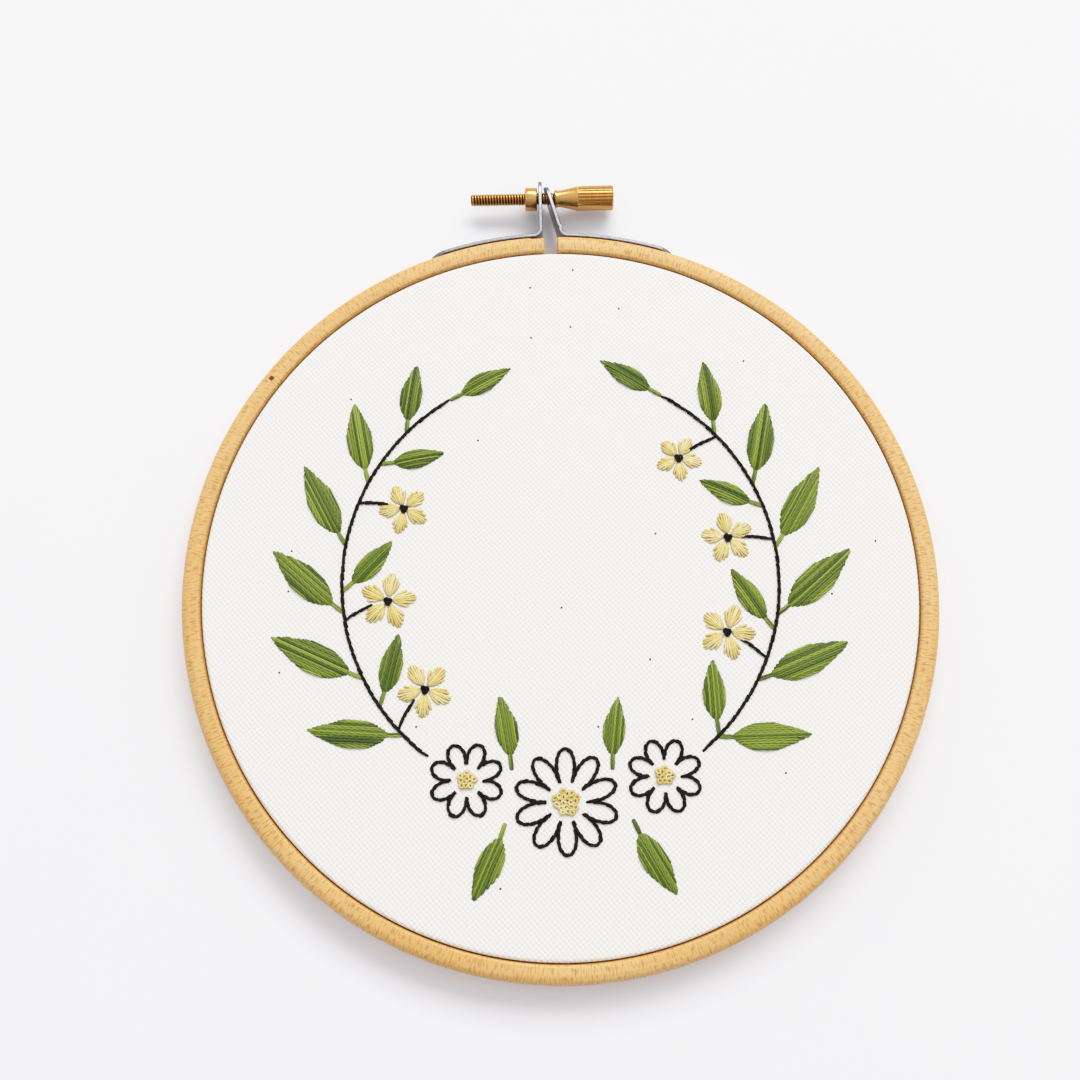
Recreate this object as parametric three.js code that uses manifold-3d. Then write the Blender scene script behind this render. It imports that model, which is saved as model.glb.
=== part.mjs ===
// A stitched garland on cotton, stretched in a two-ring beech hoop that a brass screw clamps.
// Millimetres, +Z up. The hoop lies on its back on z = 0, cloth upwards, screw towards +Y.
import * as THREE from "three";
import { mergeVertices } from "three/addons/utils/BufferGeometryUtils.js";
import Module from "manifold-3d";

const wasm = await Module();
wasm.setup();

// Hoop rings. Radii are taken from the hoop's own centre.
const clearance = 0.3; // left between pieces that touch
const facets = 80; // round the hoop
const outerRadius = 80;
const outerWall = 4.1;
const outerHeight = 9;
const outerShoulder = 2; // rounding of the outer ring's top outside edge
const edgeEase = 0.45; // rounding of every other wooden edge
const innerWall = 4;

// Cloth, drawn over the inner ring and down between the two.
const clothThickness = 1;
const clothSink = 0.3; // its face lies this far below the outer ring's top
const clothCorner = 1; // rounding where it turns down
const clothTrim = 1; // height of its cut edge above the table

// Split in the outer ring, at +Y, with the cut-back corner at the left end.
const splitLeft = -1.6;
const splitRight = 1.36;
const cutbackLength = 3.1;
const cutbackDepth = 0.75;

// Nail hole in the outer ring's face.
const nailAngle = 142.7; // degrees from +X
const nailRadius = 77.9;
const nailSize = 1;
const nailDepth = 1.4;

// Strap brackets, bent from steel strip that stands on edge.
const strapThickness = 0.8;
const strapWidth = 6;
const strapMiddle = 4.5; // height of the strip's middle, and of the screw
const bendRadius = 1.7; // of the strip's middle line
const tailBendAngle = 18.4; // degrees from the split, where the tail turns into the wood
const tailTipAngle = 21;
const tailBite = 2.3; // how far the tail's middle line sinks
const tailTaper = 5.5; // length of the pointed tail
const tailTipWidth = 1.6;
const earRound = 3; // rounding of the ear's end
const brackets = [
  // side: -1 left, 1 right. footX, footY: a point of the straight ear. lean: degrees towards the split.
  // tipY: how far the ear reaches.
  { name: "bracket_left", side: -1, footX: 2.3, footY: 81.3, lean: 0.2, tipY: 95 },
  { name: "bracket_right", side: 1, footX: 2.65, footY: 80.2, lean: 15.4, tipY: 93.6 },
];

// Screw, turned from brass, along X. Stations are X coordinates.
const screwY = 91;
const threadRadius = 1.4;
const threadDepth = 0.32;
const threadPitch = 0.65;
const threadFacets = 10;
const threadTip = -18.2;
const holeRadius = 1.7; // through the ears and the nut
const neckStart = 0.95;
const headStart = 6.2;
const headEnd = 14.5;
const headRadius = 2.75;
const fluteCount = 24;
const fluteDepth = 0.24;
const headChamfer = 0.3;
const nutStart = -5.75;
const nutEnd = -3;
const nutRadius = 2.6;
const nutChamfer = 0.25;

// Garland, stitched on the cloth. Its two stems rise left and right from a group of daisies.
const garlandY = 1.5;
const garlandRadius = 46;
const stemFrom = 37.5; // degrees from the garland's lowest point
const stemTo = 150;
const lineWidth = 1;
const lineHeight = 0.4;
const leafHeight = 0.5;
const leafSlimness = 0.345; // width over length
const leafStalk = 2.3; // from the stem to the leaf
const leafBow = 0.09; // how far a leaf's tip bends along the stem, over its length
const twigLength = 9.5;
const twigBow = 2.2;
const petalHeight = 0.45;
// at: degrees from the lowest point. out: 1 outside the stem, -1 inside. lean: degrees from the stem.
const leafRows = [
  { branch: 1, at: 43, out: 1, length: 16.5, lean: 46 },
  { branch: 1, at: 61, out: 1, length: 18, lean: 43 },
  { branch: 1, at: 79, out: 1, length: 18.5, lean: 42 },
  { branch: 1, at: 97, out: 1, length: 17.5, lean: 41 },
  { branch: 1, at: 115, out: 1, length: 16, lean: 40 },
  { branch: 1, at: 132, out: 1, length: 14, lean: 39 },
  { branch: 1, at: 43.5, out: -1, length: 13, lean: 52 },
  { branch: 1, at: 75, out: -1, length: 13, lean: 51 },
  { branch: 1, at: 108.5, out: -1, length: 12, lean: 50 },
  { branch: 1, at: 150, out: 1, length: 12.5, lean: 3 },
  { branch: -1, at: 46, out: 1, length: 17, lean: 45 },
  { branch: -1, at: 64, out: 1, length: 18.5, lean: 42 },
  { branch: -1, at: 82, out: 1, length: 17.5, lean: 43 },
  { branch: -1, at: 100, out: 1, length: 17, lean: 40 },
  { branch: -1, at: 118, out: 1, length: 15.5, lean: 41 },
  { branch: -1, at: 135, out: 1, length: 13, lean: 39 },
  { branch: -1, at: 55.5, out: -1, length: 13, lean: 52 },
  { branch: -1, at: 87.5, out: -1, length: 12.5, lean: 50 },
  { branch: -1, at: 124, out: -1, length: 11.5, lean: 50 },
  { branch: -1, at: 150, out: -1, length: 12, lean: 2 },
];
// Leaves that fan out between the daisies, from points off the garland's circle.
const fanRows = [
  { branch: 1, at: 15, out: 1, length: 15, lean: 80, offset: 5.5 },
  { branch: 1, at: 13.5, out: -1, length: 12.5, lean: 74, offset: 5 },
  { branch: -1, at: 14, out: 1, length: 14.5, lean: 84, offset: 5.5 },
  { branch: -1, at: 15.5, out: -1, length: 13, lean: 70, offset: 5 },
];
const blossomRows = [
  { branch: 1, at: 67, radius: 6.2 },
  { branch: 1, at: 99, radius: 5.8 },
  { branch: 1, at: 131, radius: 5.2 },
  { branch: -1, at: 48, radius: 6 },
  { branch: -1, at: 80, radius: 6.2 },
  { branch: -1, at: 112, radius: 5.6 },
];
const blossomPetals = 5;
const daisyRows = [
  { branch: 1, at: 0, radius: 11, petals: 10, centre: 3.2 },
  { branch: 1, at: 26, radius: 8, petals: 8, centre: 2.4 },
  { branch: -1, at: 26, radius: 8, petals: 8, centre: 2.4 },
];

// Sizes that follow from those above.
const degree = Math.PI / 180;
const outerBore = outerRadius - outerWall;
const clothRadius = outerBore - clearance;
const clothTop = outerHeight - clothSink;
const innerRadius = clothRadius - clothThickness - clearance;
const innerBore = innerRadius - innerWall;
const innerHeight = clothTop - clothThickness - clearance;
const strapRadius = outerRadius + clearance + strapThickness / 2;
const stitchBase = clothTop + clearance;
const reachY = Math.max(...brackets.map((bracket) => bracket.tipY));

const beech = new THREE.MeshStandardMaterial({ name: "beech", color: "#e3bd80", roughness: 0.55 });
const cotton = new THREE.MeshStandardMaterial({ name: "cotton", color: "#f4f1ea", roughness: 0.95 });
const steel = new THREE.MeshStandardMaterial({ name: "steel", color: "#c4c4c6", roughness: 0.3, metalness: 1 });
const brass = new THREE.MeshStandardMaterial({ name: "brass", color: "#c79a55", roughness: 0.28, metalness: 1 });
const darkFloss = new THREE.MeshStandardMaterial({ name: "dark_floss", color: "#2b271b", roughness: 0.8 });
const greenFloss = new THREE.MeshStandardMaterial({ name: "green_floss", color: "#66852f", roughness: 0.7 });
const yellowFloss = new THREE.MeshStandardMaterial({ name: "yellow_floss", color: "#dfc878", roughness: 0.7 });

const hoop = new THREE.Group();
hoop.position.y = (outerRadius - reachY) / 2; // centres the length on the origin

function addPiece(name, geometry, material) {
  const mesh = new THREE.Mesh(geometry, material);
  mesh.name = name;
  hoop.add(mesh);
}

// A closed geometry as a solid that can be cut and joined.
function solidOf(geometry) {
  const bare = geometry.clone();
  bare.deleteAttribute("normal");
  bare.deleteAttribute("uv");
  const merged = mergeVertices(bare, 1e-4);
  const vertProperties = merged.attributes.position.array;
  const triVerts = new Uint32Array(merged.index.array);
  return new wasm.Manifold(new wasm.Mesh({ numProp: 3, vertProperties, triVerts }));
}

function geometryOf(solid) {
  const mesh = solid.getMesh();
  const geometry = new THREE.BufferGeometry();
  geometry.setAttribute("position", new THREE.BufferAttribute(mesh.vertProperties, 3));
  geometry.setIndex(new THREE.BufferAttribute(mesh.triVerts, 1));
  geometry.computeVertexNormals();
  return geometry;
}

// Points of an arc in a profile, from one angle to the other in degrees.
function arc(x, y, radius, from, to, steps) {
  return Array.from({ length: steps + 1 }, (_, i) => {
    const angle = (from + ((to - from) * i) / steps) * degree;
    return new THREE.Vector2(x + radius * Math.cos(angle), y + radius * Math.sin(angle));
  });
}

// A profile of radius and height, turned about +Z.
function turned(profile, count = facets) {
  return new THREE.LatheGeometry(profile, count).rotateX(Math.PI / 2);
}

function cylinderX(radius, from, to, y, z, count) {
  const geometry = new THREE.CylinderGeometry(radius, radius, to - from, count);
  return geometry.rotateZ(Math.PI / 2).translate((from + to) / 2, y, z);
}

function boxBetween(low, high) {
  const geometry = new THREE.BoxGeometry(high[0] - low[0], high[1] - low[1], high[2] - low[2]);
  return geometry.translate((low[0] + high[0]) / 2, (low[1] + high[1]) / 2, (low[2] + high[2]) / 2);
}

// Carries a section along a level path. sectionAt(t) lists [across, up] pairs counter-clockwise,
// with across to the left of travel, and t runs from 0 to 1. A looped path has no ends.
function sweep(path, sectionAt, looped = false) {
  const count = path.length;
  const sides = sectionAt(0).length;
  const positions = [];
  path.forEach((point, i) => {
    const before = path[looped ? (i + count - 1) % count : Math.max(i - 1, 0)];
    const after = path[looped ? (i + 1) % count : Math.min(i + 1, count - 1)];
    const run = after.clone().sub(before).normalize();
    for (const [across, up] of sectionAt(i / (count - 1))) {
      positions.push(point.x - run.y * across, point.y + run.x * across, up);
    }
  });
  const index = [];
  const spans = looped ? count : count - 1;
  for (let i = 0; i < spans; i++) {
    for (let j = 0; j < sides; j++) {
      const here = i * sides;
      const next = ((i + 1) % count) * sides;
      const turn = (j + 1) % sides;
      index.push(here + j, here + turn, next + turn, here + j, next + turn, next + j);
    }
  }
  if (!looped) {
    const outline = (t) => sectionAt(t).map(([across, up]) => new THREE.Vector2(across, up));
    for (const [a, b, c] of THREE.ShapeUtils.triangulateShape(outline(0), [])) index.push(a, c, b);
    const last = (count - 1) * sides;
    for (const [a, b, c] of THREE.ShapeUtils.triangulateShape(outline(1), [])) {
      index.push(last + a, last + b, last + c);
    }
  }
  const geometry = new THREE.BufferGeometry();
  geometry.setAttribute("position", new THREE.Float32BufferAttribute(positions, 3));
  geometry.setIndex(index);
  return geometry;
}

// Outer ring: a bent beech lath with a rounded shoulder, sawn through at +Y.
function outerRing() {
  const shoulderX = outerRadius - outerShoulder;
  const shoulderY = outerHeight - outerShoulder;
  const profile = [
    new THREE.Vector2(outerBore, 0),
    new THREE.Vector2(outerRadius - edgeEase, 0),
    new THREE.Vector2(outerRadius, edgeEase),
    ...arc(shoulderX, shoulderY, outerShoulder, 0, 90, 4),
    new THREE.Vector2(outerBore + edgeEase, outerHeight),
    new THREE.Vector2(outerBore, outerHeight - edgeEase),
    new THREE.Vector2(outerBore, 0),
  ];
  const past = 1; // the cuts run this far past the wood
  const low = outerBore - past;
  const high = outerRadius + past;
  const split = boxBetween([splitLeft, low, -past], [splitRight, high, outerHeight + past]);
  const cutback = boxBetween(
    [splitLeft - cutbackLength, outerRadius - cutbackDepth, -past],
    [0, high, outerHeight + past],
  );
  const nail = boxBetween(
    [nailRadius - nailSize / 2, -nailSize / 2, outerHeight - nailDepth],
    [nailRadius + nailSize / 2, nailSize / 2, outerHeight + past],
  ).rotateZ(nailAngle * degree);
  let ring = solidOf(turned(profile));
  for (const cutter of [split, cutback, nail]) ring = ring.subtract(solidOf(cutter));
  for (const bracket of brackets) ring = ring.subtract(solidOf(tailSlot(bracket)));
  return geometryOf(ring);
}

// Inner ring: a plain closed ring of the same wood.
function innerRing() {
  return turned([
    new THREE.Vector2(innerBore, 0),
    new THREE.Vector2(innerRadius - edgeEase, 0),
    new THREE.Vector2(innerRadius, edgeEase),
    new THREE.Vector2(innerRadius, innerHeight - edgeEase),
    new THREE.Vector2(innerRadius - edgeEase, innerHeight),
    new THREE.Vector2(innerBore + edgeEase, innerHeight),
    new THREE.Vector2(innerBore, innerHeight - edgeEase),
    new THREE.Vector2(innerBore, 0),
  ]);
}

// Cloth: a taut disc whose margin turns down between the rings and is trimmed.
function cloth() {
  const under = clothTop - clothThickness;
  const inside = clothRadius - clothThickness;
  return turned([
    new THREE.Vector2(0, under),
    new THREE.Vector2(inside, under),
    new THREE.Vector2(inside, clothTrim),
    new THREE.Vector2(clothRadius, clothTrim),
    ...arc(clothRadius - clothCorner, clothTop - clothCorner, clothCorner, 0, 90, 3),
    new THREE.Vector2(0, clothTop),
  ]);
}

// A point at an angle from +Y towards the bracket's own side.
function offSplit(side, radius, angle) {
  return new THREE.Vector2(side * radius * Math.sin(angle), radius * Math.cos(angle));
}

// The tail's middle line sinks into the wood past the bend, slowly and then faster.
function tailPoint(side, angle) {
  const sunk = Math.max(0, (angle - tailBendAngle) / (tailTipAngle - tailBendAngle));
  return offSplit(side, strapRadius - tailBite * sunk * sunk, angle * degree);
}

// The strip's middle line: down the ear, round the bend, along the ring and into the wood.
function strapPath({ side, footX, footY, lean, tipY }) {
  const up = new THREE.Vector2(-Math.sin(lean * degree), Math.cos(lean * degree));
  const out = new THREE.Vector2(up.y, -up.x);
  const beside = new THREE.Vector2(footX, footY).addScaledVector(out, bendRadius);
  const along = beside.dot(up);
  const reach = strapRadius + bendRadius;
  const rise = Math.sqrt(along * along - beside.lengthSq() + reach * reach) - along;
  const centre = beside.addScaledVector(up, rise);
  const bendTop = centre.clone().addScaledVector(out, -bendRadius);
  const earLength = (tipY - bendTop.y) / up.y;
  const ear = [1, 0.94, 0.86, 0.74, 0.6, 0.3].map((t) => bendTop.clone().addScaledVector(up, earLength * t));
  const bendFrom = 180 - lean;
  const bendTo = 180 + Math.atan2(centre.y, centre.x) / degree;
  const bend = arc(centre.x, centre.y, bendRadius, bendFrom, bendTo, 5);
  const seatAngle = Math.atan2(centre.x, centre.y) / degree;
  const run = Array.from({ length: 8 }, (_, i) => seatAngle + ((tailBendAngle - seatAngle) * (i + 1)) / 8);
  const tail = Array.from({ length: 4 }, (_, i) => tailBendAngle + ((tailTipAngle - tailBendAngle) * (i + 1)) / 4);
  const bent = [...ear, ...bend].map((point) => new THREE.Vector2(side * point.x, point.y));
  return [...bent, ...[...run, ...tail].map((angle) => tailPoint(side, angle))];
}

// Strip sections: full width, round at the ear's end and pointed at the tail.
function strapSection(path, grow) {
  const lengths = [0];
  for (let i = 1; i < path.length; i++) lengths.push(lengths[i - 1] + path[i].distanceTo(path[i - 1]));
  const total = lengths[lengths.length - 1];
  return (t) => {
    const from = lengths[Math.round(t * (path.length - 1))];
    const short = Math.max(0, earRound - from);
    const rounded = 2 * Math.sqrt(earRound * earRound - short * short);
    const tapered = tailTipWidth + ((strapWidth - tailTipWidth) * (total - from)) / tailTaper;
    const half = Math.min(strapWidth, Math.max(rounded, tailTipWidth), tapered) / 2 + grow;
    const thick = strapThickness / 2 + grow;
    const low = strapMiddle - half;
    const high = strapMiddle + half;
    return [[-thick, low], [thick, low], [thick, high], [-thick, high]];
  };
}

function bracket(row) {
  const path = strapPath(row);
  const strip = solidOf(sweep(path, strapSection(path, 0)));
  const hole = solidOf(cylinderX(holeRadius, -10, 10, screwY, strapMiddle, 20));
  return geometryOf(strip.subtract(hole));
}

// The slot that a tail is pressed into: the tail's own line, a little longer, thicker and wider.
function tailSlot({ side }) {
  const spread = 1.6 * clearance;
  const shares = [0, 0.25, 0.5, 0.75, 1, 1.2];
  const path = shares.map((share) => tailPoint(side, tailBendAngle + (tailTipAngle - tailBendAngle) * share));
  return sweep(path, (t) => {
    const half = strapThickness / 2 + spread;
    const tall = (tailTipWidth + (strapWidth - tailTipWidth) * 0.7 * (1 - t)) / 2 + spread;
    const low = strapMiddle - tall;
    const high = strapMiddle + tall;
    return [[-half, low], [half, low], [half, high], [-half, high]];
  });
}

// Thread: a grid round the shank, sheared by one pitch a turn, whose rows alternate crest and root.
function threadBody(from, to) {
  const rows = Math.ceil((2 * (to - from)) / threadPitch) + 4;
  const positions = [];
  const at = (row, column) => (column === threadFacets ? (row + 2) * threadFacets : row * threadFacets + column);
  for (let row = 0; row < rows; row++) {
    for (let column = 0; column < threadFacets; column++) {
      const angle = (2 * Math.PI * column) / threadFacets;
      const radius = row % 2 ? threadRadius - threadDepth : threadRadius;
      const x = from + threadPitch * (row / 2 - 1.5 + column / threadFacets);
      positions.push(x, radius * Math.cos(angle), radius * Math.sin(angle));
    }
  }
  const startPole = rows * threadFacets;
  positions.push(from - 2 * threadPitch, 0, 0, to + 2 * threadPitch, 0, 0);
  const index = [];
  const bodyRows = rows - 3;
  for (let row = 0; row < bodyRows; row++) {
    for (let column = 0; column < threadFacets; column++) {
      const a = at(row, column);
      const b = at(row + 1, column);
      const c = at(row + 1, column + 1);
      const d = at(row, column + 1);
      index.push(a, d, c, a, c, b);
    }
  }
  const rim = (row) => [...Array(threadFacets + 1).keys()].map((column) => at(row, column)).concat(at(row + 1, 0));
  const startRim = rim(0);
  const endRim = rim(bodyRows);
  startRim.forEach((a, i) => index.push(startPole, startRim[(i + 1) % startRim.length], a));
  endRim.forEach((a, i) => index.push(startPole + 1, a, endRim[(i + 1) % endRim.length]));
  const geometry = new THREE.BufferGeometry();
  geometry.setAttribute("position", new THREE.Float32BufferAttribute(positions, 3));
  geometry.setIndex(index);
  return geometry;
}

// Thumb screw: thread, collar, flaring neck and fluted head, one piece of brass.
function thumbScrew() {
  const intoNeck = neckStart + 1;
  const stock = [
    new THREE.Vector2(0, threadTip),
    new THREE.Vector2(threadRadius - threadDepth, threadTip),
    new THREE.Vector2(threadRadius + 0.05, threadTip + 0.5),
    new THREE.Vector2(threadRadius + 0.05, intoNeck),
    new THREE.Vector2(0, intoNeck),
  ];
  const neck = [
    new THREE.Vector2(0, neckStart),
    new THREE.Vector2(1.75, neckStart),
    new THREE.Vector2(2.05, neckStart + 0.35),
    new THREE.Vector2(1.85, neckStart + 1),
    new THREE.Vector2(headRadius - 0.1, headStart),
    new THREE.Vector2(headRadius - fluteDepth, headStart + 0.2),
    new THREE.Vector2(0, headStart + 0.2),
  ];
  const cap = [
    new THREE.Vector2(0, headStart),
    new THREE.Vector2(headRadius, headStart),
    new THREE.Vector2(headRadius, headEnd - headChamfer),
    new THREE.Vector2(headRadius - headChamfer, headEnd),
    new THREE.Vector2(0, headEnd),
  ];
  const star = new THREE.Shape(
    Array.from({ length: 3 * fluteCount }, (_, i) => {
      const angle = (2 * Math.PI * i) / (3 * fluteCount);
      const radius = i % 3 === 0 ? headRadius - fluteDepth : headRadius;
      return new THREE.Vector2(radius * Math.cos(angle), radius * Math.sin(angle));
    }),
  );
  const flutes = new THREE.ExtrudeGeometry(star, { depth: headEnd - headStart, bevelEnabled: false });
  const lengthways = (geometry) => geometry.rotateY(Math.PI / 2);
  const head = solidOf(lengthways(flutes.translate(0, 0, headStart)));
  const body = solidOf(threadBody(threadTip, intoNeck))
    .intersect(solidOf(lengthways(turned(stock, 24))))
    .add(solidOf(lengthways(turned(neck, 24))))
    .add(head.intersect(solidOf(lengthways(turned(cap, 72)))));
  return geometryOf(body.translate([0, screwY, strapMiddle]));
}

// Collar nut: round, its edges eased, held against the left ear.
function collarNut() {
  const profile = [
    new THREE.Vector2(0, nutStart),
    new THREE.Vector2(nutRadius - nutChamfer, nutStart),
    new THREE.Vector2(nutRadius, nutStart + nutChamfer),
    new THREE.Vector2(nutRadius, nutEnd - nutChamfer),
    new THREE.Vector2(nutRadius - nutChamfer, nutEnd),
    new THREE.Vector2(0, nutEnd),
  ];
  const body = solidOf(turned(profile, 24).rotateY(Math.PI / 2).translate(0, screwY, strapMiddle));
  const hole = solidOf(cylinderX(holeRadius, nutStart - 1, nutEnd + 1, screwY, strapMiddle, 20));
  return geometryOf(body.subtract(hole));
}

// A point of a stem, with the directions along it and outwards.
function stemFrame(branch, at) {
  const angle = at * degree;
  const point = new THREE.Vector2(
    branch * garlandRadius * Math.sin(angle),
    garlandY - garlandRadius * Math.cos(angle),
  );
  const along = new THREE.Vector2(branch * Math.cos(angle), Math.sin(angle));
  const outwards = new THREE.Vector2(branch * Math.sin(angle), -Math.cos(angle));
  return { point, along, outwards };
}

// A stitched line: a low rounded ridge.
function ridge(width = lineWidth, height = lineHeight) {
  const half = width / 2;
  return () => [
    [-half, stitchBase],
    [half, stitchBase],
    [half * 0.6, stitchBase + height],
    [-half * 0.6, stitchBase + height],
  ];
}

// A padded shape of satin stitch: widest at its middle, with a groove along it.
function padded(width, height) {
  return (t) => {
    const half = (width / 2) * Math.max(0.12, Math.sin(Math.PI * t ** 0.86));
    return [
      [-half, stitchBase],
      [half, stitchBase],
      [half, stitchBase + height * 0.3],
      [half * 0.5, stitchBase + height],
      [0, stitchBase + height * 0.7],
      [-half * 0.5, stitchBase + height],
      [-half, stitchBase + height * 0.3],
    ];
  };
}

function leafPath({ branch, at, out, length, lean, offset = 0 }) {
  const { point, along, outwards } = stemFrame(branch, at);
  const heading = along.clone().multiplyScalar(Math.cos(lean * degree));
  heading.addScaledVector(outwards, out * Math.sin(lean * degree));
  const base = point.clone().addScaledVector(outwards, out * offset).addScaledVector(heading, leafStalk);
  return [0, 0.12, 0.3, 0.52, 0.75, 0.92, 1].map((t) =>
    base.clone().addScaledVector(heading, length * t).addScaledVector(along, leafBow * length * t * t),
  );
}

function leaf(row) {
  return sweep(leafPath(row), padded(row.length * leafSlimness, leafHeight));
}

// A twig leaves the stem at a slant and bows along it. Its end is the blossom's middle.
function twigPath(branch, at) {
  const { point, along, outwards } = stemFrame(branch, at);
  return [0, 0.25, 0.5, 0.75, 1].map((t) =>
    point
      .clone()
      .addScaledVector(outwards, -twigLength * t)
      .addScaledVector(along, twigBow * t * (2 - t)),
  );
}

function stem(branch) {
  const steps = 30;
  const line = Array.from({ length: steps + 1 }, (_, i) => {
    return stemFrame(branch, stemFrom + ((stemTo - stemFrom) * i) / steps).point;
  });
  let lines = solidOf(sweep(line, ridge()));
  for (const row of blossomRows.filter((each) => each.branch === branch)) {
    const twig = twigPath(branch, row.at);
    const clear = 1 - (row.radius * 1.02) / twigLength;
    const kept = [0, 0.5, 1].map((t) => twig[0].clone().lerp(twig[4], t * clear));
    lines = lines.add(solidOf(sweep(kept, ridge(lineWidth * 0.8))));
  }
  return geometryOf(lines);
}

// A petal: a plain crown, widest past its middle.
function crowned(width, height) {
  return (t) => {
    const half = (width / 2) * Math.max(0.15, Math.sin(Math.PI * Math.min(0.95, t) ** 1.5));
    return [
      [-half, stitchBase],
      [half, stitchBase],
      [half * 0.6, stitchBase + height],
      [-half * 0.6, stitchBase + height],
    ];
  };
}

// Blossom: five satin petals about one middle.
function blossom({ branch, at, radius }) {
  const centre = twigPath(branch, at)[4];
  const width = radius * 0.66;
  const hub = new THREE.CylinderGeometry(radius * 0.3, radius * 0.3, petalHeight * 0.8, 10);
  let body = solidOf(hub.rotateX(Math.PI / 2).translate(centre.x, centre.y, stitchBase + petalHeight * 0.4));
  for (let petal = 0; petal < blossomPetals; petal++) {
    const angle = (2 * Math.PI * petal) / blossomPetals + at * degree;
    const ray = new THREE.Vector2(Math.cos(angle), Math.sin(angle));
    const path = [0.14, 0.4, 0.65, 0.88, 1].map((t) => centre.clone().addScaledVector(ray, radius * t));
    body = body.add(solidOf(sweep(path, crowned(width, petalHeight))));
  }
  return geometryOf(body);
}

// Daisy: one line that runs out and back round every petal.
function daisyPath({ branch, at, radius, petals, centre }) {
  const middle = stemFrame(branch, at).point;
  const steps = 8;
  return Array.from({ length: petals * steps }, (_, i) => {
    const angle = (2 * Math.PI * i) / (petals * steps);
    const swell = Math.abs(Math.sin((angle * petals) / 2)) ** 0.55;
    const reach = centre + 0.8 + (radius - lineWidth / 2 - centre - 0.8) * swell;
    return new THREE.Vector2(middle.x + reach * Math.cos(angle), middle.y + reach * Math.sin(angle));
  });
}

// The knotted middle of a daisy.
function knots({ branch, at, centre }) {
  const middle = stemFrame(branch, at).point;
  const rim = centre - lineWidth / 2;
  return turned(
    [
      new THREE.Vector2(0, stitchBase),
      new THREE.Vector2(rim, stitchBase),
      new THREE.Vector2(rim, stitchBase + lineHeight / 2),
      new THREE.Vector2(rim * 0.6, stitchBase + leafHeight),
      new THREE.Vector2(0, stitchBase + leafHeight),
    ],
    16,
  ).translate(middle.x, middle.y, 0);
}

const numbered = (name, i) => `${name}_${String(i + 1).padStart(2, "0")}`;

addPiece("outer_ring", outerRing(), beech);
addPiece("inner_ring", innerRing(), beech);
addPiece("cloth", cloth(), cotton);
for (const row of brackets) addPiece(row.name, bracket(row), steel);
addPiece("nut", collarNut(), brass);
addPiece("thumb_screw", thumbScrew(), brass);
addPiece("stem_right", stem(1), darkFloss);
addPiece("stem_left", stem(-1), darkFloss);
daisyRows.forEach((row, i) => {
  addPiece(numbered("daisy", i), sweep(daisyPath(row), ridge(), true), darkFloss);
  addPiece(numbered("daisy_centre", i), knots(row), yellowFloss);
});
[...leafRows, ...fanRows].forEach((row, i) => addPiece(numbered("leaf", i), leaf(row), greenFloss));
blossomRows.forEach((row, i) => addPiece(numbered("blossom", i), blossom(row), yellowFloss));

export default hoop;
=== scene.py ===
"""A garland embroidered on cotton, stretched in a beech hoop, lying face up on a white table.

Sizes are millimetres, and radii are taken from the hoop's centre. Meshes are made in metres.
"""
import math

import bpy
import numpy as np
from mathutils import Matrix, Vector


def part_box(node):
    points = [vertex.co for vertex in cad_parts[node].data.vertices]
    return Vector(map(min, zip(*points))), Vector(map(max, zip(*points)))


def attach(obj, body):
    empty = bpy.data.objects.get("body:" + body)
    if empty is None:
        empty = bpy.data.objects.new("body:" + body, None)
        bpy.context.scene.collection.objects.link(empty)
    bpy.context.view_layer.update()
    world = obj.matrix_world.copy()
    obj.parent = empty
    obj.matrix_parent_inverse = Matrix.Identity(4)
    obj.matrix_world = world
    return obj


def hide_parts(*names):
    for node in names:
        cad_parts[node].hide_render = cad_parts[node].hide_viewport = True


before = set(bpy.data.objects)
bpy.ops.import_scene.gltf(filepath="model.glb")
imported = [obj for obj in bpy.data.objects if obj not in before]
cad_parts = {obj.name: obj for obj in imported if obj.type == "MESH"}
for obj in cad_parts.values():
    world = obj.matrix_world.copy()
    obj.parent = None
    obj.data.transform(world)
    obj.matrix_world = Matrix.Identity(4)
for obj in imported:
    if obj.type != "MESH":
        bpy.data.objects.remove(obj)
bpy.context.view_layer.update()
MM = 0.001
OUTER_RADIUS = 80.0
HOOP_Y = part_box("outer_ring")[0].y / MM + OUTER_RADIUS

# Camera: close above the lower half of the hoop and looking slightly up the picture, so that the
# near side of every rounded part shows. Its place and lens were fitted to the ring's ellipse.
CAMERA_PLACE = (-5.48, -41.71 + HOOP_Y, 249.0)
CAMERA_TURN = (12.1, -0.046, -1.288)
CAMERA_LENS = 38.6

lens = bpy.data.cameras.new("camera")
lens.lens = CAMERA_LENS
lens.clip_start = 0.01
camera = bpy.data.objects.new("camera", lens)
camera.location = [MM * x for x in CAMERA_PLACE]
camera.rotation_euler = [math.radians(a) for a in CAMERA_TURN]
bpy.context.scene.collection.objects.link(camera)
bpy.context.scene.camera = camera


# Outer ring: a beech lath bent round until its ends nearly meet at the screw, its outside edge
# rounded over and the corner under the left bracket cut back. The wood is sanded and sealed, so
# its pale face shows the short dark flecks of beech, and its edge a soft shine.
OUTER_WALL = 4.1
OUTER_HEIGHT = 9.0
SHOULDER = 2.0
EASE = 0.45
SPLIT_LEFT = -1.6
SPLIT_RIGHT = 1.36
CUTBACK_LENGTH = 3.1
CUTBACK_DEPTH = 0.75
END_EASE = 0.25
NAIL_ANGLE = 142.7
NAIL_RADIUS = 77.9
NAIL_SIZE = 1.0
NAIL_DEPTH = 1.4


def linear(code):
    """A colour from sRGB hex to linear: each channel above 0.04045 is ((c + 0.055) / 1.055) ** 2.4."""
    channels = np.array([int(code[i : i + 2], 16) for i in (1, 3, 5)]) / 255
    curved = ((channels + 0.055) / 1.055) ** 2.4
    return tuple(np.where(channels > 0.04045, curved, channels / 12.92)) + (1.0,)


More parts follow.
